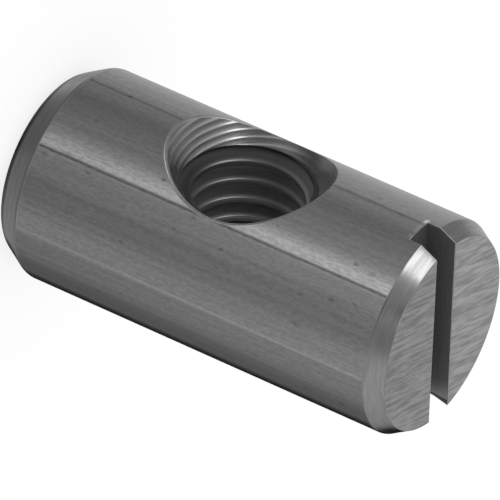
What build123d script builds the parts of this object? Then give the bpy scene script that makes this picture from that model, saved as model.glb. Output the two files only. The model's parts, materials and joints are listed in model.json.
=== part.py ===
from build123d import *
from math import radians, tan
import os

# A cross dowel: a turned steel barrel with a tapped hole through its side. It slides into a hole
# drilled in a panel, and the connecting bolt that comes in from the panel's edge screws into it.
# The barrel stands on its plain end, centred on the origin, with its slotted end up. The tapped
# hole runs along Y and is open at both sides of the barrel. All lengths are in millimetres.

# Barrel, a sliding fit in a 10 mm drilled hole
barrel_diameter = 9.8
barrel_length = 20.0

# Bevels turned on the two ends: their lengths along the barrel, and the angle from its side
plain_end_bevel_length = 1.3
slot_end_bevel_length = 0.8
bevel_angle = 30.0

# Tapped hole through the middle of the barrel, with a metric coarse thread
thread_diameter = 6.0
thread_pitch = 1.0
core_depth_per_pitch = 1.0825

# Cone that leads the bolt in, at each mouth of the hole: how far it opens past the thread
# where it meets the top line of the barrel, and the angle between its sides
countersink_lip = 0.9
countersink_angle = 60.0

# Slot for a flat driver, across the top end and in line with the tapped hole
slot_width = 1.4
slot_depth = 1.4

# Sizes that follow from the ones above
barrel_radius = barrel_diameter / 2
plain_end_radius = barrel_radius - plain_end_bevel_length * tan(radians(bevel_angle))
slot_end_radius = barrel_radius - slot_end_bevel_length * tan(radians(bevel_angle))
hole_height = barrel_length / 2
core_radius = (thread_diameter - core_depth_per_pitch * thread_pitch) / 2
countersink_radius = thread_diameter / 2 + countersink_lip

with BuildPart() as cross_dowel:
    # Half of the lengthwise section, turned round the barrel's axis
    with BuildSketch(Plane.XZ):
        with BuildLine():
            Polyline(
                (0, 0),
                (plain_end_radius, 0),
                (barrel_radius, plain_end_bevel_length),
                (barrel_radius, barrel_length - slot_end_bevel_length),
                (slot_end_radius, barrel_length),
                (0, barrel_length),
                close=True,
            )
        make_face()
    revolve(axis=Axis.Z)

    # Core of the tapped hole, right through the barrel, under a lead-in cone at each side.
    # The cones cut the round side in a saddle-shaped rim.
    front_mouth = Plane(origin=(0, -barrel_radius, hole_height), z_dir=(0, -1, 0))
    back_mouth = Plane(origin=(0, barrel_radius, hole_height), z_dir=(0, 1, 0))
    with Locations(front_mouth, back_mouth):
        CounterSinkHole(
            radius=core_radius,
            counter_sink_radius=countersink_radius,
            depth=barrel_diameter,
            counter_sink_angle=countersink_angle,
        )

    # Slot cut right across the top end
    with BuildSketch(Plane.XY.offset(barrel_length)):
        Rectangle(slot_width, barrel_diameter)
    extrude(amount=-slot_depth, mode=Mode.SUBTRACT)

cross_dowel.part.label = "cross_dowel"

os.makedirs("parts", exist_ok=True)
export_step(cross_dowel.part, "parts/cross_dowel.step")
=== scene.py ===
import json
import math

import bpy
import numpy as np
from mathutils import Matrix, Vector


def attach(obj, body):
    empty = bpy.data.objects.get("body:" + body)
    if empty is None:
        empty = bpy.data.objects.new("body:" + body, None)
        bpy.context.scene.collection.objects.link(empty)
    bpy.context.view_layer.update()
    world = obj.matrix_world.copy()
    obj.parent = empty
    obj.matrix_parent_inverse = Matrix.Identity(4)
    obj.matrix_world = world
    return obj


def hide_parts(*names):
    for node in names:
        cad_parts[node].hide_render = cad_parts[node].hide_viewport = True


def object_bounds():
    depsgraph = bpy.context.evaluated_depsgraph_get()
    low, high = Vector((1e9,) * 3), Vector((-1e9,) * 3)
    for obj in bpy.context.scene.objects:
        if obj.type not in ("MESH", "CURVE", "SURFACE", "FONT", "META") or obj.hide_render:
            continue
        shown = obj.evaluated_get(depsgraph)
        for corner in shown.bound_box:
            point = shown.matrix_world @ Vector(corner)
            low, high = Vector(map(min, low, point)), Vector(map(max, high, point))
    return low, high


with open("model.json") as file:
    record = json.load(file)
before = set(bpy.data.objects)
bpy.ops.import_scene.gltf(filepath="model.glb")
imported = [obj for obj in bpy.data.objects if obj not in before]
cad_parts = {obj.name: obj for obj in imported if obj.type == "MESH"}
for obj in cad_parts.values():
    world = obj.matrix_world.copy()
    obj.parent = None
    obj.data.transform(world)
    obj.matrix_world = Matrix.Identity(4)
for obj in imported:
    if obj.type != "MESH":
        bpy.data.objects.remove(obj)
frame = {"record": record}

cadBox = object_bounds()
mm = 0.001  # the dowel is worked out in millimetres and built in metres
mounts = {mount["name"]: mount for mount in frame["record"]["mounts"]}
print("frame loaded, CAD box", [round(c / mm, 3) for corner in cadBox for c in corner])

# Sizes of the dowel in millimetres. The barrel and the hole's place come from the frame.
dowel = {
    "radius": (cadBox[1].x - cadBox[0].x) / 2 / mm,
    "length": (cadBox[1].z - cadBox[0].z) / mm,
    "plainBevelLength": 1.3,
    "slotBevelLength": 0.8,
    "bevelAngle": 30.0,  # from the barrel's side
    "holeHeight": mounts["thread"]["pos_m"][2] / mm,
    "coreRadius": mounts["thread"]["dims"]["r_mm"],
    "threadRadius": 3.0,
    "threadPitch": 1.0,
    "threadStart": 0.71,  # where the crest passes the top of the hole, in pitches from the middle
    "threadCrestWidth": 0.25,  # both widths are shares of the pitch
    "threadRootWidth": 0.125,
    "flankCurve": 0.12,  # how much of the flanks' rise is curved
    "crestSide": 211.0,  # where the painted highlight on the crests' edges is brightest, from the barrel's top
    "crestSideFall": 6,  # how fast that painted highlight fades away from there
    "crestRubbed": (0.15, 0.5),  # painted highlight on the crests' edges: how strong all round, and how much more on that side
    "crestReach": (0.032, 0.112),  # from the edge, in pitches: painted highlight in full, and none at all
    "flankFall": 1.5,  # how much faster that fades down the flank
    "rootReach": (0.1, 0.3),  # down the flank, in pitches: from the painted shade line to the paler painted root
    "mouthRadius": 3.84,  # of the cone, level with the top line of the barrel
    "mouthShift": 0.12,  # how far off the thread's axis the cones are, towards the slotted end
    "coneAngle": 30.0,  # from the hole's axis
    "coneFoot": 3.22,  # how far from the barrel's axis the cone turns in to the thread
    "footSlope": 2.2,  # of the turned-in part, radius over length
    "footBlend": 0.05,  # how softly the thread runs into the cone
    "coneRubbed": 0.06,  # how far past its foot the cone's painted light is full
    "conePast": (0.03, 0.08),  # how far outside the cone: painted light in full, and none at all
    "ringSpacing": 0.3,  # of the cutter's rings on the cone, along the hole
    "ringHeight": 0.013,
    "ringTone": 0.52,  # painted shade: how much darker the grooves between the rings are
    "ringShine": 0.8,  # painted highlight: how much brighter the rings are, from 0 to 1
    "ringStarts": 4,  # the rings climb by this many spacings in a turn
    "ringPhase": 0.52,
    "ringSide": 225.0,  # where they are deepest, from the barrel's top round the hole
    "ringFall": 1.5,  # how fast they run out away from there
    "slotWidth": 1.4,
    "slotDepth": 1.4,
    "filedDepth": 1.3,  # of the filed corners at one exit of the slot, from the end face
    "filedFade": 0.1,  # how much further they take to run out
    "filedSlope": 0.1,
    "filedAngle": 60.0,  # of the filed face from the slot's wall
    "filedEase": 0.2,
    "filedFull": (0.12, 0.4),  # how far the wall is cut back, and how deep, where that ease is full
    "bevelEase": 0.045,  # how far the turned edges are rounded back from their corners
    "slotEndEase": 0.03,
    "plainBevelEase": 0.12,
    "plainEndEase": 0.3,
    "slotEase": 0.04,
    "rimEase": 0.09,
    "rimWear": 0.85,  # how unevenly the rims are rounded, and where they are worn most
    "rimWearSide": 105.0,
    "rimGlow": 0.5,  # how worn they are where their painted highlight begins
}

# How finely the surface is divided
mesh = {
    "holeColumns": 256,  # a multiple of 4
    "rowsPerPitch": 20,
    "tappedPast": 0.06,  # how far outside the thread the cone is where the rows stop climbing with it
    "coneRows": 16,
    "sideRings": 22,
    "sideCrowding": 1.35,  # how much closer together they are near the hole's rims
    "slotColumns": 8,  # across the slot, where it breaks through the side
    "besideSlot": (0, 0.1, 0.4, 0.7, 1),  # the side's rows beside the slot, up to the bevel
    "floorRows": 16,
    "easeRows": 6,
    "faceRings": 12,
}

finishes = ["drawnSide", "turnedBevel", "sawnEnd", "milledSlot", "tappedHole"]
up = np.array([0.0, 0.0, 1.0])
frontToBack = np.array([1, -1, 1])  # mirrors what is at the slot's near exit to its far one

# Each point of the surface carries wear and painted light: from 0 to 1 its edge is worn bright and carries
# a painted highlight, and above 1 it lies on a ring of the cone with a painted highlight. Two levels below
# 0 mark the painted shade between the thread's crests.
darkLine = -0.5  # painted shade line beside the edge of a crest
paleRoot = -1.0  # paler painted shade at the root of the thread


# Surfaces are added as grids of points with their own normals, then joined where they meet
def newSkin():
    return {"points": [], "normals": [], "rubbed": [], "faces": [], "finishes": [], "count": 0}


def addGrid(skin, points, normals, finish, rubbed=0.0):
    rows, columns = points.shape[:2]
    skin["rubbed"].append(np.broadcast_to(rubbed, (rows, columns)).reshape(-1))
    index = np.arange(rows * columns).reshape(rows, columns) + skin["count"]
    quads = np.stack([index[:-1, :-1], index[:-1, 1:], index[1:, 1:], index[1:, :-1]], -1)
    quads = quads.reshape(-1, 4)
    skin["points"].append(points.reshape(-1, 3))
    skin["normals"].append(np.broadcast_to(normals, points.shape).reshape(-1, 3))
    skin["faces"] += quads.tolist()
    skin["finishes"] += [finishes.index(finish)] * len(quads)
    skin["count"] += rows * columns


def addFlat(skin, points, normal, finish):
    count = len(points)
    skin["points"].append(points)
    skin["normals"].append(np.tile(normal, (count, 1)))
    skin["rubbed"].append(np.zeros(count))
    skin["faces"].append(list(range(skin["count"], skin["count"] + count)))
    skin["finishes"].append(finishes.index(finish))
    skin["count"] += count


def unit(vectors):
    return vectors / np.linalg.norm(vectors, axis=-1, keepdims=True)


def rise(value, low, high):
    # 0 at low and 1 at high, straight between them and level beyond
    return np.clip((value - low) / (high - low), 0, 1)


def easedRows(first, corner, last, firstNormal, lastNormal):
    # Rows of an arc from first to last that rounds off the corner between them
    turn = np.arccos(np.clip((firstNormal * lastNormal).sum(-1, keepdims=True), -1, 1))
    weight = np.cos(turn / 2)
    points, normals = [], []
    for step in np.linspace(0, 1, mesh["easeRows"] + 1):
        parts = (1 - step) ** 2, 2 * step * (1 - step) * weight, step**2
        points.append((parts[0] * first + parts[1] * corner + parts[2] * last) / sum(parts))
        normals.append(unit(np.sin((1 - step) * turn) * firstNormal + np.sin(step * turn) * lastNormal))
    return np.array(points), np.array(normals)


def easedGlow():
    # The middle rows of a rounded edge get the most wear and painted highlight
    return np.sin(np.linspace(0, np.pi, mesh["easeRows"] + 1))[:, None]


def easedProfile(corners, eases):
    # Rounds the inner corners of a half-section given as (radius, height) points
    corners = np.array(corners, float)
    runs = unit(np.diff(corners, axis=0))
    sideways = np.stack([runs[:, 1], -runs[:, 0]], -1)
    points, normals = [corners[0]], [sideways[0]]
    for k in range(1, len(corners) - 1):
        before = corners[k] - runs[k - 1] * eases[k - 1]
        after = corners[k] + runs[k] * eases[k - 1]
        arc, arcNormals = easedRows(before, corners[k], after, sideways[k - 1], sideways[k])
        points += list(arc)
        normals += list(arcNormals)
    points.append(corners[-1])
    normals.append(sideways[-1])
    return np.array(points), np.array(normals)


def roundBarrel(radius, height, angles):
    # The angle round the barrel is 0 at the front and grows towards +X
    return np.stack([radius * np.sin(angles), -radius * np.cos(angles), height + 0 * angles], -1)


def turned(profile, normals, angles):
    # Places half-section points round the barrel; angles has one row for each point
    points = roundBarrel(profile[:, :1], profile[:, 1:], angles)
    return points, roundBarrel(normals[:, :1], normals[:, 1:], angles)


def bevelInset(length):
    return length * math.tan(math.radians(dowel["bevelAngle"]))


coneSlope = math.tan(math.radians(dowel["coneAngle"]))


# In the hole, angles run from the barrel's top (+Z) towards +X, and depths from the barrel's axis
def coneRadius(angle, depth):
    middle = dowel["mouthRadius"] - (dowel["radius"] - np.abs(depth)) * coneSlope
    return middle + dowel["mouthShift"] * np.cos(angle)


def footRadius(angle, depth):
    # The cone, turned in where it ends
    past = np.maximum(dowel["coneFoot"] - np.abs(depth), 0)
    return coneRadius(angle, depth) - past * (dowel["footSlope"] - coneSlope)


def fromCrest(angle, along):
    # How far a point of the right-handed thread lies from the middle of a crest, in pitches
    turn = along / dowel["threadPitch"] - angle / (2 * np.pi) - dowel["threadStart"]
    return turn - np.round(turn)


def ringWave(angle, along):
    # The rings left on the cone, from -1 in a groove to 1 on a ring, and how strong they are there
    ringTurn = np.abs(along) / dowel["ringSpacing"] - dowel["ringPhase"]
    ringTurn = ringTurn * 2 * np.pi + np.sign(along) * dowel["ringStarts"] * angle
    strength = np.clip(np.cos(angle - math.radians(dowel["ringSide"])), 0, 1) ** dowel["ringFall"]
    return np.cos(ringTurn), strength


def holeRadius(angle, along):
    # Distance of the hole's surface from its axis: the thread, or the cone where that is wider
    crestEdge = dowel["threadCrestWidth"] / 2
    flank = (1 - dowel["threadCrestWidth"] - dowel["threadRootWidth"]) / 2
    climb = rise(np.abs(fromCrest(angle, along)), crestEdge, crestEdge + flank)
    curved = climb * climb * (3 - 2 * climb)
    climb = climb + (curved - climb) * dowel["flankCurve"]
    thread = dowel["coreRadius"] + (dowel["threadRadius"] - dowel["coreRadius"]) * climb
    wave, strength = ringWave(angle, along)
    cone = footRadius(angle, along) - dowel["ringHeight"] * wave * strength
    blend = dowel["footBlend"]
    share = rise(cone - thread, -blend, blend)
    return thread * (1 - share) + cone * share + blend * share * (1 - share)


def crestGlow(angle, along):
    # Painted light on the thread: a painted highlight at the edge of a crest, painted shade beside it and
    # paler towards the root
    past = fromCrest(angle, along) + dowel["threadCrestWidth"] / 2
    fromEdge = np.where(past < 0, -dowel["flankFall"] * past, past)
    brightSide = np.clip(np.cos(angle - math.radians(dowel["crestSide"])), 0, 1) ** dowel["crestSideFall"]
    everywhere, more = dowel["crestRubbed"]
    full, gone = dowel["crestReach"]
    glow = rise(fromEdge, gone, full) * (everywhere + more * brightSide)
    between = darkLine + (paleRoot - darkLine) * rise(-past, *dowel["rootReach"])
    return np.where(glow == 0, between, glow)


def coneGlow(angle, along, radius):
    # Painted light on the cone: bright, with painted highlights on its rings and painted shade between
    # them
    full, gone = dowel["conePast"]
    glow = rise(np.abs(along), dowel["coneFoot"], dowel["coneFoot"] + dowel["coneRubbed"])
    glow = glow * rise(radius - coneRadius(angle, along), gone, full)
    wave, strength = ringWave(angle, along)
    glow = glow * (1 - dowel["ringTone"] * strength * (0.5 - wave / 2))
    return glow * (1 + dowel["ringShine"] * strength * np.clip(wave, 0, 1))


def holeSurface(angle, along):
    step = 1e-5
    radius = holeRadius(angle, along)
    alongSlope = (holeRadius(angle, along + step) - holeRadius(angle, along - step)) / (2 * step)
    roundSlope = (holeRadius(angle + step, along) - holeRadius(angle - step, along)) / (2 * step * radius)
    cos, sin = np.cos(angle), np.sin(angle)
    points = np.stack([radius * sin, along + 0 * angle, dowel["holeHeight"] + radius * cos], -1)
    normals = np.stack([-sin + roundSlope * cos, alongSlope, -cos - roundSlope * sin], -1)
    onCrest, onCone = crestGlow(angle, along), coneGlow(angle, along, radius)
    return points, unit(normals), np.where(onCone > 0, np.maximum(onCrest, onCone), onCrest)


def rimDepth(angle):
    # Where the cone breaks through the round side: the root of a quadratic for the depth
    start = coneRadius(angle, 0.0)
    spread = np.sin(angle) ** 2
    a = 1 + coneSlope**2 * spread
    b = start * coneSlope * spread
    c = start**2 * spread - dowel["radius"] ** 2
    return (-b + np.sqrt(b * b - a * c)) / a


def rimPoint(angle, side):
    depth = rimDepth(angle)
    radius = coneRadius(angle, depth)
    height = dowel["holeHeight"] + radius * np.cos(angle)
    return np.stack([radius * np.sin(angle), side * depth, height], -1)


def mouthRim(angle, side):
    # The rim of one mouth and the rounded strip that runs over it, from the cone to the side
    step = 1e-4
    corner = rimPoint(angle, side)
    along = unit(rimPoint(angle + step, side) - rimPoint(angle - step, side))
    slope = math.radians(dowel["coneAngle"])
    across, down = math.cos(slope), side * math.sin(slope)
    inNormal = np.stack([-np.sin(angle) * across, down + 0 * angle, -np.cos(angle) * across], -1)
    outNormal = unit(corner * [1, 1, 0])
    inward = np.cross(along, inNormal)
    inward *= -np.sign((inward * outNormal).sum(-1, keepdims=True))
    outward = np.cross(along, outNormal)
    outward *= -np.sign((outward * inNormal).sum(-1, keepdims=True))
    worn = 1 + dowel["rimWear"] * np.cos(angle - math.radians(dowel["rimWearSide"]))
    ease = (dowel["rimEase"] * worn)[:, None]
    first = corner + inward * ease
    last = corner + outward * ease
    last[:, :2] *= dowel["radius"] / np.linalg.norm(last[:, :2], axis=1, keepdims=True)
    return first, corner, last, inNormal, outNormal, worn


def addHole(skin):
    # The thread between the two cones, then each cone out to its rim. Returns the rims' outer edges.
    # The columns start at the corner where the side's outer edge starts.
    angle = np.linspace(0, 2 * np.pi, mesh["holeColumns"] + 1) - np.pi / 4
    pitch = dowel["threadPitch"]
    tapped = (dowel["threadRadius"] + mesh["tappedPast"] - coneRadius(angle, 0.0)) / coneSlope
    steps = int(math.ceil((2 * tapped.max() + pitch) / pitch * mesh["rowsPerPitch"]))
    rows = np.arange(steps + 1)[:, None] * pitch / mesh["rowsPerPitch"] - tapped.max() - pitch
    helix = (angle - angle[0]) * pitch / (2 * np.pi)  # each row of points climbs with the thread
    along = np.clip(rows + helix, -tapped, tapped)
    points, normals, rubbed = holeSurface(np.broadcast_to(angle, along.shape), along)
    addGrid(skin, points, normals, "tappedHole", rubbed)
    rims = {}
    for side in (-1, 1):
        first, corner, last, inNormal, outNormal, worn = mouthRim(angle, side)
        endAngle = np.unwrap(np.arctan2(first[:, 0], first[:, 2] - dowel["holeHeight"]))
        share = np.linspace(0, 1, mesh["coneRows"] + 1)[:, None]
        depth = side * tapped + share * (first[:, 1] - side * tapped)
        points, normals, rubbed = holeSurface(angle + share * (endAngle - angle), depth)
        addGrid(skin, points, normals, "tappedHole", rubbed)
        first = holeSurface(endAngle, first[:, 1])[0]
        # painted highlight along the rims' rounded strips, stronger where they are more worn
        glow = easedGlow() * np.clip(worn - dowel["rimGlow"], 0, 1)
        addGrid(skin, *easedRows(first, corner, last, inNormal, outNormal), "turnedBevel", glow)
        rims[side] = last
    return rims


def addSide(skin, rims, topEdge, bottomHeight, topHeight):
    # The round side: rings that grow from each rim to the edges of that half of the barrel
    quarter = mesh["holeColumns"] // 4
    span = np.linspace(-np.pi / 2, np.pi / 2, quarter + 1)
    climb = np.linspace(bottomHeight, topHeight, quarter + 1)
    rightEdge = np.full(quarter, np.pi / 2)
    edgeTurn = np.concatenate([topEdge[:-1], rightEdge, span[:0:-1], -rightEdge, topEdge[:1]])
    top, bottom = np.full(quarter, topHeight), np.full(quarter, bottomHeight)
    edgeHeight = np.concatenate([top, climb[:0:-1], bottom, climb[:-1], top[:1]])
    share = np.linspace(0, 1, mesh["sideRings"] + 1)[:, None] ** mesh["sideCrowding"]
    for side, start in ((-1, 0.0), (1, np.pi)):
        rim = rims[side]
        rimTurn = np.arctan2(-side * rim[:, 0], np.abs(rim[:, 1]))
        angle = rimTurn + share * (-side * edgeTurn - rimTurn) + start
        height = rim[:, 2] + share * (edgeHeight - rim[:, 2])
        points = roundBarrel(dowel["radius"], height, angle)
        addGrid(skin, points, roundBarrel(1.0, 0.0, angle), "drawnSide")


def addPlainEnd(skin, bottomHeight):
    radius, inset = dowel["radius"], bevelInset(dowel["plainBevelLength"])
    corners = [(0, 0), (radius - inset, 0), (radius, dowel["plainBevelLength"]), (radius, bottomHeight)]
    profile, normals = easedProfile(corners, [dowel["plainEndEase"], dowel["plainBevelEase"]])
    columns = mesh["holeColumns"] // 2
    angles = np.linspace(-np.pi / 2, 1.5 * np.pi, columns + 1)[None, :]
    flat = np.linspace(0, 1, mesh["faceRings"] + 1)[:, None] * profile[1]
    down = np.tile([0.0, -1.0], (len(flat), 1))
    addGrid(skin, *turned(flat, down, angles + 0 * flat[:, :1]), "sawnEnd")
    addGrid(skin, *turned(profile[1:], normals[1:], angles + 0 * profile[1:, :1]), "turnedBevel")


def slotFloor():
    return dowel["length"] - dowel["slotDepth"]


def slotEndProfile():
    # Half-section of the side, from just under the slot's floor, and of the bevel above it
    radius, top = dowel["radius"], dowel["length"]
    corners = [
        (radius, slotFloor() - dowel["slotEase"]),
        (radius, top - dowel["slotBevelLength"]),
        (radius - bevelInset(dowel["slotBevelLength"]), top),
        (0, top),
    ]
    profile, normals = easedProfile(corners, [dowel["bevelEase"], dowel["slotEndEase"]])
    share = np.array(mesh["besideSlot"])[:, None]
    side = profile[0] + share * (profile[1] - profile[0])
    sideNormals = np.tile(normals[0], (len(side), 1))
    return np.concatenate([side, profile[2:-1]]), np.concatenate([sideNormals, normals[2:-1]])


def filedExit():
    # Where the slot's wall ends on the end face, at the exit with the filed corners
    edgeRadius = dowel["radius"] - bevelInset(dowel["slotBevelLength"])
    return math.sqrt(edgeRadius**2 - (dowel["slotWidth"] / 2) ** 2)


def filedCorner(radius, deep, sharp):
    # At the far exit the slot's corners are filed. There the wall ends before the sharp corner,
    # and the barrel's side begins at a wider angle from the slot's middle.
    half = dowel["slotWidth"] / 2
    filed = filedExit() - dowel["filedSlope"] * deep
    runOut = rise(deep, dowel["filedDepth"], dowel["filedDepth"] + dowel["filedFade"])
    wallEnd = np.minimum(sharp, filed + runOut * (sharp - filed))
    sideways = math.sin(math.radians(dowel["filedAngle"]))
    outwards = math.cos(math.radians(dowel["filedAngle"]))
    lean = half * sideways + wallEnd * outwards
    width = -lean + np.sqrt(lean**2 + radius**2 - half**2 - wallEnd**2)
    return wallEnd, np.arcsin((half + sideways * width) / radius) + dowel["slotEase"] / radius


def slotEdge(near, far, outer, outNormal, filed):
    # The rounded edge of one wall: up the near exit, across the end face and down the far one.
    # It is wider where the corners are filed. Also returns how far each of its points is filed.
    ease, sideRows = dowel["slotEase"], len(mesh["besideSlot"])
    across = outer[len(near):-len(far)] * [0, 1, 1] + [dowel["slotWidth"] / 2, 0, 0]
    edge = np.concatenate([near, across, far])
    along = unit(np.gradient(edge, axis=0))
    along[:, 0] = 0
    along[-sideRows:] = -up
    wallNormal = np.tile([-1.0, 0.0, 0.0], (len(edge), 1))
    inward = np.cross(wallNormal, along)
    filedShare = np.zeros((len(edge), 1))
    filedShare[-len(far):, 0] = filed
    eases = ease + filedShare * (dowel["filedEase"] - ease)
    inner = edge + unit(inward) * eases * -np.sign((inward * outNormal).sum(-1, keepdims=True))
    for end, way in ((0, 1), (-1, -1)):
        # The last row of the edge is mitred to meet the edge of the slot's floor
        edge[end, 2] = slotFloor()
        inner[end] = edge[end] + [0, way * ease, 0]
    return inner, easedRows(inner, edge, outer, wallNormal, outNormal), filedShare[:, 0]


def addSlotEnd(skin):
    # The two halves beside the slot, its walls and its floor. Returns the edge that the side meets.
    top, floor = dowel["length"], slotFloor()
    half, ease = dowel["slotWidth"] / 2, dowel["slotEase"]
    sideRows = len(mesh["besideSlot"])
    edgeColumns = (mesh["holeColumns"] // 4 - mesh["slotColumns"]) // 2
    columns = 2 * edgeColumns

    # The side and bevel beside the slot, one half of the barrel
    profile, normals = slotEndProfile()
    radius, deep = profile[:, 0], top - profile[:, 1]
    corner = np.arcsin(half / radius)
    begin = corner + ease / radius
    sharp = radius * np.cos(corner)
    wallEnd, filedBegin = filedCorner(radius, deep, sharp)
    spread = np.linspace(0, 1, columns + 1)[None, :]
    angles = begin[:, None] + spread * (np.pi - begin - filedBegin)[:, None]
    ring, ringNormals = turned(profile, normals, angles)

    # The end face, between the slot's edge and the last ring
    chord = np.zeros((columns + 1, 3))
    chord[:, 0] = ring[-1, 0, 0]
    chord[:, 1] = np.linspace(ring[-1, 0, 1], ring[-1, -1, 1], columns + 1)
    chord[:, 2] = top
    share = np.linspace(0, 1, mesh["faceRings"] + 1)[:, None, None]
    face = chord + share * (ring[-1] - chord)

    # The rounded edge between them and the slot's wall
    near = roundBarrel(radius, profile[:, 1], corner)
    nearNormals = roundBarrel(normals[:, 0], normals[:, 1], corner)
    far = np.stack([half + 0 * corner, wallEnd, profile[:, 1]], -1)[::-1]
    outer = np.concatenate([ring[:, 0], chord[1:-1], ring[::-1, -1]])
    overFace = np.tile(up, (columns - 1, 1))
    outNormal = np.concatenate([nearNormals, overFace, (nearNormals * frontToBack)[::-1]])
    cutBack, fullDepth = dowel["filedFull"]
    filed = (rise(sharp - wallEnd, 0, cutBack) * rise(deep, 0, fullDepth))[::-1]
    inner, (strip, stripNormals), filedShare = slotEdge(near, far, outer, outNormal, filed)

    # The floor and its rounded ends
    turn = np.linspace(-corner[0], corner[0], mesh["slotColumns"] + 1)
    reach = begin[0] / corner[0]
    lip = roundBarrel(radius[0], floor, turn)
    under = roundBarrel(radius[0], floor - ease, turn * reach)
    inside = lip + [0, ease, 0]
    floorShare = np.linspace(0, 1, mesh["floorRows"] + 1)[:, None, None]
    floorGrid = inside + floorShare * (inside * frontToBack - inside)
    upward = np.tile(up, (len(turn), 1))
    lipPoints, lipNormals = easedRows(inside, lip, under, upward, roundBarrel(1.0, 0.0, turn))
    lipPoints[:, -1] = strip[:, 0]
    lipPoints[:, 0] = strip[:, 0] * [-1, 1, 1]
    for mirror in (1, -1):
        way = np.array([mirror, 1, 1])
        addGrid(skin, ring[:sideRows] * way, ringNormals[:sideRows] * way, "drawnSide")
        addGrid(skin, ring[sideRows - 1:] * way, ringNormals[sideRows - 1:] * way, "turnedBevel")
        addGrid(skin, face * way, up, "sawnEnd")
        # edge wear and a painted highlight along the slot's rounded edges, none where they are filed
        addGrid(skin, strip * way, stripNormals * way, "turnedBevel", easedGlow() * (1 - filedShare))
        wall = np.concatenate([inner, floorGrid[-2:0:-1, -1]]) * way
        addFlat(skin, wall if mirror > 0 else wall[::-1], np.array([-mirror, 0, 0]), "milledSlot")
        halfTurn = np.array([mirror, mirror, 1])  # the second lip is at the far exit
        # edge wear and a painted highlight along the lips of the slot's floor
        addGrid(skin, lipPoints * halfTurn, lipNormals * halfTurn, "turnedBevel", easedGlow())
    addGrid(skin, floorGrid, up, "milledSlot")
    beside = angles[0, : edgeColumns + 1]
    return np.concatenate([-beside[::-1], turn[1:-1] * reach, beside]), floor - ease


def joinSkin(skin, name):
    points = np.concatenate(skin["points"])
    normals = unit(np.concatenate(skin["normals"]))
    grain = 1e-4  # points nearer than this are one point
    offset = 0.137  # in grains, so that no size in round numbers lies on the limit between two
    cells = np.round(points / grain + offset).astype(np.int64)
    _, first, welded = np.unique(cells, axis=0, return_index=True, return_inverse=True)
    welded = welded.reshape(-1)
    faces, cornerNormals, slots = [], [], []
    for face, finish in zip(skin["faces"], skin["finishes"]):
        kept = [at for k, at in enumerate(face) if welded[at] != welded[face[k - 1]]]
        if len(kept) < 3:
            continue
        if len(kept) < 5:
            # Quads and triangles are turned to face the way their normals do
            lastPair = (3, 1) if len(kept) > 3 else (2, 1)
            across = points[kept[2]] - points[kept[0]]
            other = points[kept[lastPair[0]]] - points[kept[lastPair[1]]]
            if np.dot(np.cross(across, other), normals[kept].sum(0)) < 0:
                kept.reverse()
        faces.append([int(welded[at]) for at in kept])
        cornerNormals += [normals[at] for at in kept]
        slots.append(finish)
    data = bpy.data.meshes.new(name)
    data.from_pydata((points[first] * mm).tolist(), [], faces)
    data.polygons.foreach_set("material_index", slots)
    data.polygons.foreach_set("use_smooth", [True] * len(faces))
    data.normals_split_custom_set([tuple(n) for n in cornerNormals])
    rubbed = np.full(len(first), paleRoot)
    np.maximum.at(rubbed, welded, np.concatenate(skin["rubbed"]))
    data.attributes.new("rubbed", "FLOAT", "POINT").data.foreach_set("value", rubbed)
    data.update()
    piece = bpy.data.objects.new(name, data)
    bpy.context.scene.collection.objects.link(piece)
    return piece


def buildDowel():
    skin = newSkin()
    rims = addHole(skin)
    bottomHeight = dowel["plainBevelLength"] + dowel["plainBevelEase"]
    topEdge, topHeight = addSlotEnd(skin)
    addSide(skin, rims, topEdge, bottomHeight, topHeight)
    addPlainEnd(skin, bottomHeight)
    return joinSkin(skin, "threaded_dowel")


piece = buildDowel()
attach(piece, "root")
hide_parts("cross_dowel")
print("dowel built,", len(piece.data.vertices), "points,", len(piece.data.polygons), "faces")


def addNode(tree, kind, inputs=None, **settings):
    # Makes a node; each input is given a value or the socket that feeds it
    node = tree.nodes.new(kind)
    for name, value in settings.items():
        setattr(node, name, value)
    for socket, source in (inputs or {}).items():
        if hasattr(source, "is_linked"):
            tree.links.new(source, node.inputs[socket])
        else:
            node.inputs[socket].default_value = source
    return node


def calculate(tree, operation, *inputs):
    return addNode(tree, "ShaderNodeMath", dict(enumerate(inputs)), operation=operation).outputs[0]


def times(tree, first, second):
    return calculate(tree, "MULTIPLY", first, second)


def plus(tree, first, second):
    return calculate(tree, "ADD", first, second)


def fade(tree, value, low, high, toLow=0.0, toHigh=1.0):
    inputs = {"Value": value, "From Min": low, "From Max": high, "To Min": toLow, "To Max": toHigh}
    return addNode(tree, "ShaderNodeMapRange", inputs, interpolation_type="SMOOTHSTEP").outputs[0]


def toneChange(tree, value, begin, end, tone):
    # A factor for the tone: 1 up to begin, and the one given from end on
    return fade(tree, value, begin, end, 1.0, tone)


def splitPlace(tree, place):
    return addNode(tree, "ShaderNodeSeparateXYZ", {0: place}).outputs


def joinPlace(tree, x, y, z):
    return addNode(tree, "ShaderNodeCombineXYZ", {0: x, 1: y, 2: z}).outputs[0]


def stretchPlace(tree, place, factors):
    return addNode(tree, "ShaderNodeVectorMath", {0: place, 1: factors}, operation="MULTIPLY").outputs[0]


def newGroup(name, values, outputs):
    # Each group works on Place, in millimetres, with values that the materials can set
    group = bpy.data.node_groups.new(name, "ShaderNodeTree")
    group.interface.new_socket("Place", in_out="INPUT", socket_type="NodeSocketVector")
    for label, value in values.items():
        socket = group.interface.new_socket(label, in_out="INPUT", socket_type="NodeSocketFloat")
        socket.default_value = value
    for label in outputs:
        group.interface.new_socket(label, in_out="OUTPUT", socket_type="NodeSocketFloat")
    return group, group.nodes.new("NodeGroupInput").outputs, group.nodes.new("NodeGroupOutput").inputs


def placeGroup(tree, group, **inputs):
    return addNode(tree, "ShaderNodeGroup", inputs, node_tree=group).outputs


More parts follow.
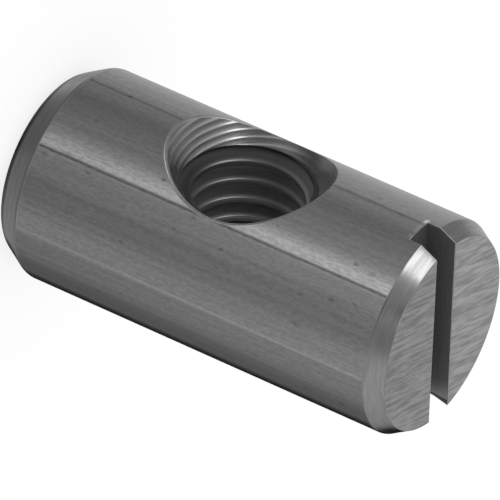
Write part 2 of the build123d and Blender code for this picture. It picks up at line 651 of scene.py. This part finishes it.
def makeStreaks():
    # Fine marks that run along the third axis of Place, over long ones. Across, Along and Long say
    # how closely they lie per millimetre, and Coarse is the share of the long ones.
    values = {"Across": 8.0, "Along": 0.3, "Long": 0.06, "Coarse": 0.4}
    group, given, result = newGroup("steelStreaks", values, ["Streaks", "Height"])
    longWidth = 0.4  # how closely the long ones lie, as a share of Across
    lowest, highest = 0.3, 0.7  # where the mask of the streaks is 0 and 1, in levels of the noise
    layers = []
    for width, length in ((1.0, given["Along"]), (longWidth, given["Long"])):
        across = times(group, given["Across"], width)
        stretched = stretchPlace(group, given["Place"], joinPlace(group, across, across, length))
        noise = {"Vector": stretched, "Scale": 1.0, "Detail": 3.0, "Roughness": 0.6}
        layers.append(addNode(group, "ShaderNodeTexNoise", noise).outputs["Fac"])
    mixed = {"Factor": given["Coarse"], 2: layers[0], 3: layers[1]}  # 2 and 3 are the plain numbers
    both = addNode(group, "ShaderNodeMix", mixed).outputs[0]
    group.links.new(fade(group, both, lowest, highest), result["Streaks"])
    group.links.new(both, result["Height"])
    return group


def makeSpecks():
    # Small dark pits, longer along the third axis of Place, in some of the cells of a scatter
    values = {"Density": 1.2, "Share": 0.25, "Radius": 0.12}
    group, given, result = newGroup("darkSpecks", values, ["Specks"])
    shape = (1.0, 1.0, 0.5)
    smallest = 0.5  # as a share of Radius
    softness = 0.4  # how near its middle a speck is full
    palest = 0.4
    stretched = stretchPlace(group, given["Place"], shape)
    scatter = {"Vector": stretched, "Scale": given["Density"]}
    cells = addNode(group, "ShaderNodeTexVoronoi", scatter).outputs
    present, size, darkness = splitPlace(group, cells["Color"])
    chosen = calculate(group, "LESS_THAN", present, given["Share"])
    radius = times(group, given["Radius"], fade(group, size, 0.0, 1.0, smallest, 1.0))
    within = calculate(group, "DIVIDE", cells["Distance"], radius)
    dot = times(group, fade(group, within, 1.0, softness), chosen)
    group.links.new(times(group, dot, fade(group, darkness, 0.0, 1.0, palest, 1.0)), result["Specks"])
    return group


def makeRubbed():
    # Wear and painted light read from the points: edges worn bright, painted highlights and painted shade;
    # Broken says how uneven they are
    values = {"Amount": 0.6, "Broken": 0.55}
    group, given, result = newGroup("rubbedEdges", values, ["Rubbed"])
    whole, broken = 0.6, 0.3  # levels of the noise where an edge is whole, and broken in full
    marked = addNode(group, "ShaderNodeAttribute", attribute_name="rubbed").outputs["Fac"]
    noise = {"Vector": given["Place"], "Scale": 3.0, "Detail": 2.0}
    patchy = addNode(group, "ShaderNodeTexNoise", noise).outputs["Fac"]
    gaps = times(group, fade(group, patchy, whole, broken), given["Broken"])
    worn = times(group, marked, calculate(group, "SUBTRACT", 1.0, gaps))
    group.links.new(times(group, worn, given["Amount"]), result["Rubbed"])
    return group


streaksGroup = makeStreaks()
specksGroup = makeSpecks()
rubbedGroup = makeRubbed()


def millimetrePlace(tree):
    place = addNode(tree, "ShaderNodeTexCoord").outputs["Object"]
    return addNode(tree, "ShaderNodeVectorMath", {0: place, "Scale": 1 / mm}, operation="SCALE").outputs[0]


def roundAngle(tree, place):
    # The angle round the barrel in degrees: 0 at the front mouth of the hole, 90 towards +X
    x, y, _ = splitPlace(tree, place)
    return calculate(tree, "DEGREES", calculate(tree, "ARCTAN2", x, times(tree, y, -1.0)))


def addStreaks(tree, look, place):
    # Returns the mask of a finish's streaks, the tone that they give it and their relief
    streaks = placeGroup(tree, streaksGroup, Place=place, **look["streaks"])
    mask, spread = streaks["Streaks"], look["streakTone"]
    tone = fade(tree, mask, 0.0, 1.0, 1 - spread, 1 + spread)
    return mask, tone, times(tree, streaks["Height"], look["streakHeight"])


def newSteel(name, metallic=1.0):
    material = bpy.data.materials.new(name)
    material.use_nodes = True
    tree = material.node_tree
    tree.nodes.clear()
    shader = addNode(tree, "ShaderNodeBsdfPrincipled", {"Metallic": metallic})
    addNode(tree, "ShaderNodeOutputMaterial", {"Surface": shader.outputs[0]})
    return material, tree, shader


def finishSteel(tree, shader, look, tone, polish, relief):
    # tone multiplies the steel's grey, polish lowers its roughness, relief is in millimetres
    level = times(tree, tone, look["grey"])
    colour = addNode(tree, "ShaderNodeCombineColor", {0: level, 1: level, 2: level}).outputs[0]
    tree.links.new(colour, shader.inputs["Base Color"])
    dull, polished = look["roughness"] + look["roughSpread"], look["roughness"] - look["roughSpread"]
    tree.links.new(fade(tree, polish, 0.0, 1.0, dull, polished), shader.inputs["Roughness"])
    bump = addNode(tree, "ShaderNodeBump", {"Height": relief, "Strength": 1.0, "Distance": mm})
    tree.links.new(bump.outputs[0], shader.inputs["Normal"])


# The drawn bar: lengthwise streaks, a few long draw lines and small specks, with a painted highlight
# strip, painted glints under the slot and painted light towards the slotted end
drawnLook = {
    "grey": 0.28,
    "roughness": 0.2,
    "roughSpread": 0.04,
    "streaks": {"Across": 11.0, "Along": 3.6, "Long": 0.05, "Coarse": 0.42},
    "streakTone": 0.13,
    "streakHeight": 0.0006,
    "specks": {"Density": 1.6, "Share": 0.5, "Radius": 0.26},
    "speckTone": 0.42,
    "brighterEnd": 0.2,  # painted light: how much paler the slotted end is than the plain one
    "highlightStrip": (41.3, 8.0),  # a painted highlight strip beside one line: where it ends and how wide it is, in degrees
    "highlightStripTones": (-0.04, 0.2),  # at the plain end and at the slotted one
    "drawLines": [  # the angle, half width and tone of each
        (41.8, 1.4, -0.6),
        (-5.5, 1.4, -0.42),
        (87.0, 1.5, 0.32),
        (63.0, 0.5, -0.06),
        (148.0, 0.8, -0.2),
        (-42.0, 0.6, -0.1),
        (-96.0, 0.8, -0.22),
        (-139.0, 0.6, 0.12),
    ],
    "lineHeight": 0.003,
    "lipGlints": [(-2.5, 6.5, 0.3), (-8.6, 2.2, 1.3), (5.8, 1.6, 0.4)],  # painted glints and highlights, the same, under the slot's floor
    "lipDrop": 0.1,  # how far below the floor they are, in millimetres
    "lipWidth": 0.14,
}


def lengthwiseMark(tree, angle, at, width, strength, full=0.0):
    # A mark that is strongest near its own angle and gone at its width to either side
    offset = calculate(tree, "ABSOLUTE", calculate(tree, "SUBTRACT", angle, at))
    return fade(tree, offset, width, full, 0.0, strength)


def paintedHighlightStrip(tree, look, angle, height):
    # A painted highlight strip that grows paler up to its end and stops sharply there
    end, width = look["highlightStrip"]
    strip = times(tree, fade(tree, angle, end - width, end), calculate(tree, "LESS_THAN", angle, end))
    return times(tree, strip, fade(tree, height, 0.0, dowel["length"], *look["highlightStripTones"]))


def makeDrawnSide():
    look = drawnLook
    material, tree, shader = newSteel("drawnSide")
    place = millimetrePlace(tree)
    angle, height = roundAngle(tree, place), splitPlace(tree, place)[2]
    streaks, tone, relief = addStreaks(tree, look, place)
    lines = 0.0
    for at, width, strength in look["drawLines"]:
        lines = plus(tree, lines, lengthwiseMark(tree, angle, at, width, strength))
    # adds the draw lines and the painted highlight strip
    tone = plus(tree, tone, plus(tree, lines, paintedHighlightStrip(tree, look, angle, height)))
    specks = placeGroup(tree, specksGroup, Place=place, **look["specks"])["Specks"]
    tone = calculate(tree, "SUBTRACT", tone, times(tree, specks, look["speckTone"]))
    # painted glints just under the lip of the slot's floor
    drop = calculate(tree, "SUBTRACT", height, slotFloor() - look["lipDrop"])
    nearLip = fade(tree, calculate(tree, "ABSOLUTE", drop), look["lipWidth"], look["lipWidth"] / 2)
    for at, width, strength in look["lipGlints"]:
        mark = lengthwiseMark(tree, angle, at, width, strength, width / 2)
        tone = plus(tree, tone, times(tree, nearLip, mark))
    # painted light, paler towards the slotted end
    half = look["brighterEnd"] / 2
    slope = {"Value": height, "From Max": dowel["length"], "To Min": 1 - half, "To Max": 1 + half}
    tone = times(tree, tone, addNode(tree, "ShaderNodeMapRange", slope).outputs[0])
    relief = plus(tree, relief, times(tree, lines, look["lineHeight"]))
    finishSteel(tree, shader, look, tone, streaks, relief)
    return material


# The turned bevels and rounded edges: fine rings round the barrel's axis
turnedLook = {
    "grey": 0.30,
    "roughness": 0.17,
    "roughSpread": 0.04,
    "streaks": {"Across": 7.0, "Along": 0.8, "Long": 0.2, "Coarse": 0.35},
    "streakTone": 0.12,
    "streakHeight": 0.0012,
    # how much the edge wear and painted highlights brighten the rounded edges
    "rubbedTone": 0.12,
    "plainEdge": (0.43, 0.28, 0.25),  # the plain end's dark edge: from and to which height, and its tone
}


def makeTurnedBevel():
    look = turnedLook
    material, tree, shader = newSteel("turnedBevel")
    place = millimetrePlace(tree)
    x, y, z = splitPlace(tree, place)
    squares = [calculate(tree, "POWER", side, 2.0) for side in (x, y)]
    reach = calculate(tree, "SQRT", plus(tree, *squares))
    turn = times(tree, roundAngle(tree, place), math.pi / 180 * dowel["radius"])
    streaks, tone, relief = addStreaks(tree, look, joinPlace(tree, z, reach, turn))
    # edge wear and painted highlights along the rounded edges
    rubbed = placeGroup(tree, rubbedGroup, Place=place, Amount=look["rubbedTone"])["Rubbed"]
    tone = plus(tree, tone, rubbed)
    tone = times(tree, tone, toneChange(tree, z, *look["plainEdge"]))
    finishSteel(tree, shader, look, tone, streaks, relief)
    return material


# The sawn end faces: parallel marks across the slot at a slant
sawnLook = {
    "grey": 0.30,
    "roughness": 0.32,
    "roughSpread": 0.06,
    "streaks": {"Across": 6.0, "Along": 0.6, "Long": 0.12, "Coarse": 0.3},
    "streakTone": 0.27,
    "streakHeight": 0.003,
    "slant": -17.0,  # of the marks from +X
    "palerSide": 0.22,  # how much paler the face is on its -X side than on its +X side
    "sideFade": 2.0,  # how far from the middle that change ends
    "palerFront": 0.1,  # and how much paler the front of the -X side is than its back
}


def makeSawnEnd():
    look = sawnLook
    material, tree, shader = newSteel("sawnEnd")
    place = millimetrePlace(tree)
    slanted = {"Vector": place, "Angle": -math.radians(look["slant"])}
    spun = addNode(tree, "ShaderNodeVectorRotate", slanted, rotation_type="Z_AXIS").outputs[0]
    alongMarks, acrossMarks, z = splitPlace(tree, spun)
    streaks, tone, relief = addStreaks(tree, look, joinPlace(tree, acrossMarks, z, alongMarks))
    x, y, _ = splitPlace(tree, place)
    half, fadeEnd = look["palerSide"] / 2, look["sideFade"]
    side = fade(tree, x, fadeEnd, -fadeEnd, 1 - half, 1 + half)
    half = look["palerFront"] / 2
    front = fade(tree, y, dowel["radius"], -dowel["radius"], -half, half)
    front = times(tree, front, calculate(tree, "LESS_THAN", x, 0.0))
    tone = times(tree, tone, plus(tree, side, front))
    finishSteel(tree, shader, look, tone, streaks, relief)
    return material


# The milled slot: dull and dark, with marks along the cutter's way, painted light towards its filed exit
# and painted shade along its floor and filed corners
slotLook = {
    "grey": 0.14,
    "metallic": 0.5,
    "roughness": 0.55,
    "roughSpread": 0.06,
    "streaks": {"Across": 6.0, "Along": 0.8, "Long": 0.2, "Coarse": 0.4},
    "streakTone": 0.08,
    "streakHeight": 0.002,
    "palerExit": (3.0, 4.3, 2.2),  # painted light towards the filed exit: from and to which place on Y, and its tone
    "exitLine": (0.12, 0.25),  # a painted shade line along the filed corners, its width and its tone
    # painted shade along the slot's floor
    "floorTone": 0.7,
    "floorFade": 0.06,  # how far up the walls that painted shade fades away
}


def makeMilledSlot():
    look = slotLook
    material, tree, shader = newSteel("milledSlot", look["metallic"])
    x, y, z = splitPlace(tree, millimetrePlace(tree))
    streaks, tone, relief = addStreaks(tree, look, joinPlace(tree, x, z, y))
    # painted light towards the filed exit, a painted shade line along the filed corners and painted shade
    # on the floor
    tone = times(tree, tone, toneChange(tree, y, *look["palerExit"]))
    width, lineTone = look["exitLine"]
    deep = calculate(tree, "SUBTRACT", dowel["length"], z)
    alongWall = plus(tree, y, times(tree, deep, dowel["filedSlope"]))
    wallEnd = filedExit() - dowel["filedEase"]
    tone = times(tree, tone, toneChange(tree, alongWall, wallEnd - width, wallEnd - width / 2, lineTone))
    floor = slotFloor()
    tone = times(tree, tone, toneChange(tree, z, floor + look["floorFade"], floor, look["floorTone"]))
    finishSteel(tree, shader, look, tone, streaks, relief)
    return material


# The tapped hole: dark between the turns, with painted shade beside the crests, painted highlights on
# their edges and painted light on the cones
tappedLook = {
    "grey": 0.30,
    "metallic": 0.55,  # between the bright edges
    "rubbedMetallic": 0.85,
    "rubbedEnough": 0.4,  # how high the painted light is where the steel is as metallic as that
    "roughness": 0.42,
    "roughSpread": 0.2,
    "streaks": {"Across": 6.0, "Along": 0.8, "Long": 0.2, "Coarse": 0.4},
    "streakTone": 0.06,
    "streakHeight": 0.0008,
    "darkTurns": (0.12, 0.42, 0.6),  # tone of the steel there, at the cone, further in and in the middle
    "darkPlaces": (3.1, 2.5, 0.3),  # how far from the barrel's axis those are
    "lineTone": 0.65,  # painted shade: what the lines beside the painted highlights on the edges are multiplied by
    "rootTone": 1.6,  # painted light: and the roots between them
    "palerTurns": (-0.4, 2.6, 2.6),  # painted light: from and to which height over the hole's axis, and the factor there
    "palerEnd": (1.2, 2.8, 2.5),  # painted light: the same for the cones, towards the slotted end
    "shadedEnd": (-1.9, -3.2, 0.8),  # painted shade: and towards the plain one
    "brightRings": 2.4,  # painted highlight: what the brightest rings are multiplied by
}


def makeTappedHole():
    look = tappedLook
    material, tree, shader = newSteel("tappedHole")
    place = millimetrePlace(tree)
    x, y, z = splitPlace(tree, place)
    lift = calculate(tree, "SUBTRACT", z, dowel["holeHeight"])
    turn = times(tree, calculate(tree, "ARCTAN2", x, lift), dowel["coreRadius"])
    _, tone, relief = addStreaks(tree, look, joinPlace(tree, y, 0.0, turn))
    # the hole's painted light: highlights on the crests' edges and rings, shade beside and between them
    rubbed = placeGroup(tree, rubbedGroup, Place=place, Amount=1.0, Broken=0.0)["Rubbed"]
    depth = calculate(tree, "ABSOLUTE", y)
    atCone, further, middle = look["darkTurns"]
    coneDepth, furtherDepth, middleDepth = look["darkPlaces"]
    dark = fade(tree, depth, coneDepth, furtherDepth, atCone, further)
    dark = plus(tree, dark, fade(tree, depth, furtherDepth, middleDepth, 0.0, middle - further))
    dark = times(tree, dark, toneChange(tree, rubbed, 0.0, darkLine, look["lineTone"]))
    rootShare = look["rootTone"] / look["lineTone"]
    dark = times(tree, dark, toneChange(tree, rubbed, darkLine, paleRoot, rootShare))
    dark = times(tree, dark, toneChange(tree, lift, *look["palerTurns"]))
    pale = toneChange(tree, lift, *look["palerEnd"])
    pale = times(tree, pale, toneChange(tree, lift, *look["shadedEnd"]))
    tone = times(tree, tone, fade(tree, rubbed, 0.0, 1.0, dark, pale))
    tone = times(tree, tone, toneChange(tree, rubbed, 1.0, 2.0, look["brightRings"]))
    metallic = fade(tree, rubbed, 0.0, look["rubbedEnough"], look["metallic"], look["rubbedMetallic"])
    tree.links.new(metallic, shader.inputs["Metallic"])
    finishSteel(tree, shader, look, tone, rubbed, relief)
    return material


makers = {
    "drawnSide": makeDrawnSide,
    "turnedBevel": makeTurnedBevel,
    "sawnEnd": makeSawnEnd,
    "milledSlot": makeMilledSlot,
    "tappedHole": makeTappedHole,
}
for finish in finishes:
    piece.data.materials.append(makers[finish]())
print("steel finishes ready")

# The floor is white where the camera sees it and keeps the dowel's shadow
floorLook = {
    "size": 1.6,
    "shadowShare": 0.22,  # how much of its white is light that the dowel can shade
    "lightLevel": 0.9,  # how bright that light makes a white surface
}


def makeFloor():
    half = floorLook["size"] / 2
    corners = [(-half, -half, 0), (half, -half, 0), (half, half, 0), (-half, half, 0)]
    data = bpy.data.meshes.new("floor")
    data.from_pydata(corners, [], [(0, 1, 2, 3)])
    floor = bpy.data.objects.new("floor", data)
    bpy.context.scene.collection.objects.link(floor)
    material = bpy.data.materials.new("whiteFloor")
    material.use_nodes = True
    tree = material.node_tree
    tree.nodes.clear()
    share = floorLook["shadowShare"]
    rest = 1 - share * floorLook["lightLevel"]
    matt = addNode(tree, "ShaderNodeBsdfDiffuse", {"Color": (share, share, share, 1)}).outputs[0]
    glow = addNode(tree, "ShaderNodeEmission", {"Color": (1, 1, 1, 1), "Strength": rest}).outputs[0]
    dark = addNode(tree, "ShaderNodeEmission", {"Color": (0, 0, 0, 1)}).outputs[0]
    cameraRay = addNode(tree, "ShaderNodeLightPath").outputs["Is Camera Ray"]
    seen = addNode(tree, "ShaderNodeMixShader", {0: cameraRay, 1: dark, 2: glow}).outputs[0]
    total = addNode(tree, "ShaderNodeAddShader", {0: matt, 1: seen}).outputs[0]
    addNode(tree, "ShaderNodeOutputMaterial", {"Surface": total})
    material.cycles.emission_sampling = "NONE"
    data.materials.append(material)
    floor.visible_glossy = False


makeFloor()

# What the steel sees round it: a white backdrop with grey studio cards. Each belt of the sky gives
# the levels by compass direction in degrees, and the height (the sine of the elevation) at which
# it starts to fade into the next belt and at which the next one is reached.
studio = {
    "plainLevel": 1.0,  # what everything but a reflection sees
    "belts": [
        {
            "levels": [
                (-180, 0.42), (-160, 0.4), (-150, 0.05), (-116, 0.05), (-104, 0.35), (-52, 0.25),
                (0, 0.25), (100, 0.33), (137, 0.36), (180, 0.42),
            ],
            "fade": (-0.93, -0.76),
        },
        {
            "levels": [
                (-180, 0.45), (-166, 0.38), (-156, 0.36), (-148, 0.1), (-142, 0.04), (-122, 0.04),
                (-112, 0.4), (-97, 0.62), (-75, 0.5), (-52, 0.35), (0, 0.3), (100, 0.3),
                (137, 0.36), (160, 0.44), (180, 0.45),
            ],
            "fade": (-0.66, -0.5),
        },
        {
            "levels": [
                (-180, 0.22), (-167, 0.21), (-160, 0.02), (-131, 0.0), (-126, 0.5), (-120, 0.6),
                (-96, 0.68), (-66, 0.68), (-58, 0.52), (-48, 0.49), (-37, 0.37), (-27, 0.36),
                (-7, 0.47), (10, 0.56), (19, 0.8), (30, 1.4), (34, 1.2), (37, 0.58), (53, 0.58),
                (73, 0.45), (88, 0.45), (103, 0.62), (121, 0.7), (133, 0.56), (154, 0.5),
                (168, 0.3), (180, 0.22),
            ],
            "fade": (-0.15, 0.05),
        },
        {
            "levels": [
                (-180, 0.6), (-150, 0.72), (-133, 0.78), (-115, 0.68), (-100, 0.6), (-84, 0.42),
                (-62, 0.45), (-36, 0.5), (-30, 0.6), (-25, 2.7), (0, 2.9), (5, 1.2), (10, 0.7),
                (30, 0.42), (43, 0.2), (60, 0.36), (88, 0.42), (105, 0.7), (132, 0.8), (155, 0.7),
                (168, 0.62), (180, 0.6),
            ],
            "fade": (0.61, 0.67),
        },
        {
            "levels": [
                (-180, 0.55), (-60, 0.6), (-40, 0.8), (25, 0.9), (38, 2.3), (62, 2.3), (72, 0.6),
                (180, 0.55),
            ],
            "fade": (0.84, 0.92),
        },
        {"levels": [(-180, 0.62), (180, 0.62)]},
    ],
}


def ramp(tree, factor, stops):
    node = addNode(tree, "ShaderNodeValToRGB", {"Fac": factor})
    elements = node.color_ramp.elements
    for k, (at, level) in enumerate(stops):
        place = (at + 180) / 360
        element = elements[k] if k < 2 else elements.new(place)  # a new ramp has two of its own
        element.position = place
        element.color = (level, level, level, 1)
    return node.outputs["Color"]


def mixColours(tree, factor, first, second):
    colours = {"Factor": factor, 6: first, 7: second}  # 6 and 7 are the colour sockets
    return addNode(tree, "ShaderNodeMix", colours, data_type="RGBA").outputs[2]


def makeWorld():
    world = bpy.data.worlds.new("studio")
    bpy.context.scene.world = world
    world.use_nodes = True
    world.cycles.sampling_method = "NONE"
    tree = world.node_tree
    tree.nodes.clear()
    x, y, z = splitPlace(tree, addNode(tree, "ShaderNodeTexCoord").outputs["Generated"])
    compass = calculate(tree, "ARCTAN2", x, times(tree, y, -1.0))
    fullTurn = {"Value": compass, "From Min": -math.pi, "From Max": math.pi}
    place = addNode(tree, "ShaderNodeMapRange", fullTurn).outputs[0]
    belts = studio["belts"]
    cards = ramp(tree, place, belts[0]["levels"])
    for below, above in zip(belts, belts[1:]):
        share = fade(tree, z, *below["fade"])
        cards = mixColours(tree, share, cards, ramp(tree, place, above["levels"]))
    plain = studio["plainLevel"]
    reflected = addNode(tree, "ShaderNodeLightPath").outputs["Is Glossy Ray"]
    seen = mixColours(tree, reflected, (plain, plain, plain, 1), cards)
    light = addNode(tree, "ShaderNodeBackground", {"Color": seen, "Strength": 1.0})
    addNode(tree, "ShaderNodeOutputWorld", {"Surface": light.outputs[0]})


makeWorld()
print("studio ready")

# The photograph's view: the point aimed at in millimetres, angles in degrees, lens in millimetres
viewpoint = {
    "aim": (-0.027, 0.085, 10.164),
    "azimuth": 47.009,
    "elevation": 25.26,
    "roll": 113.763,
    "distance": 406.262,
    "lens": 685.01,
    "sensor": 36,
}


def makeCamera():
    data = bpy.data.cameras.new("camera")
    data.lens = viewpoint["lens"]
    data.sensor_width = viewpoint["sensor"]
    data.clip_start = 0.01
    data.clip_end = 10
    camera = bpy.data.objects.new("camera", data)
    bpy.context.scene.collection.objects.link(camera)
    azimuth, elevation = math.radians(viewpoint["azimuth"]), math.radians(viewpoint["elevation"])
    level = math.cos(elevation)
    back = Vector((math.sin(azimuth) * level, -math.cos(azimuth) * level, math.sin(elevation)))
    camera.location = Vector(viewpoint["aim"]) * mm + back * viewpoint["distance"] * mm
    upright = (-back).to_track_quat("-Z", "Y").to_matrix().to_4x4()
    roll = Matrix.Rotation(math.radians(viewpoint["roll"]), 4, "Z")
    camera.rotation_euler = (upright @ roll).to_euler()
    bpy.context.scene.camera = camera


makeCamera()
bpy.context.scene.view_settings.view_transform = "Standard"
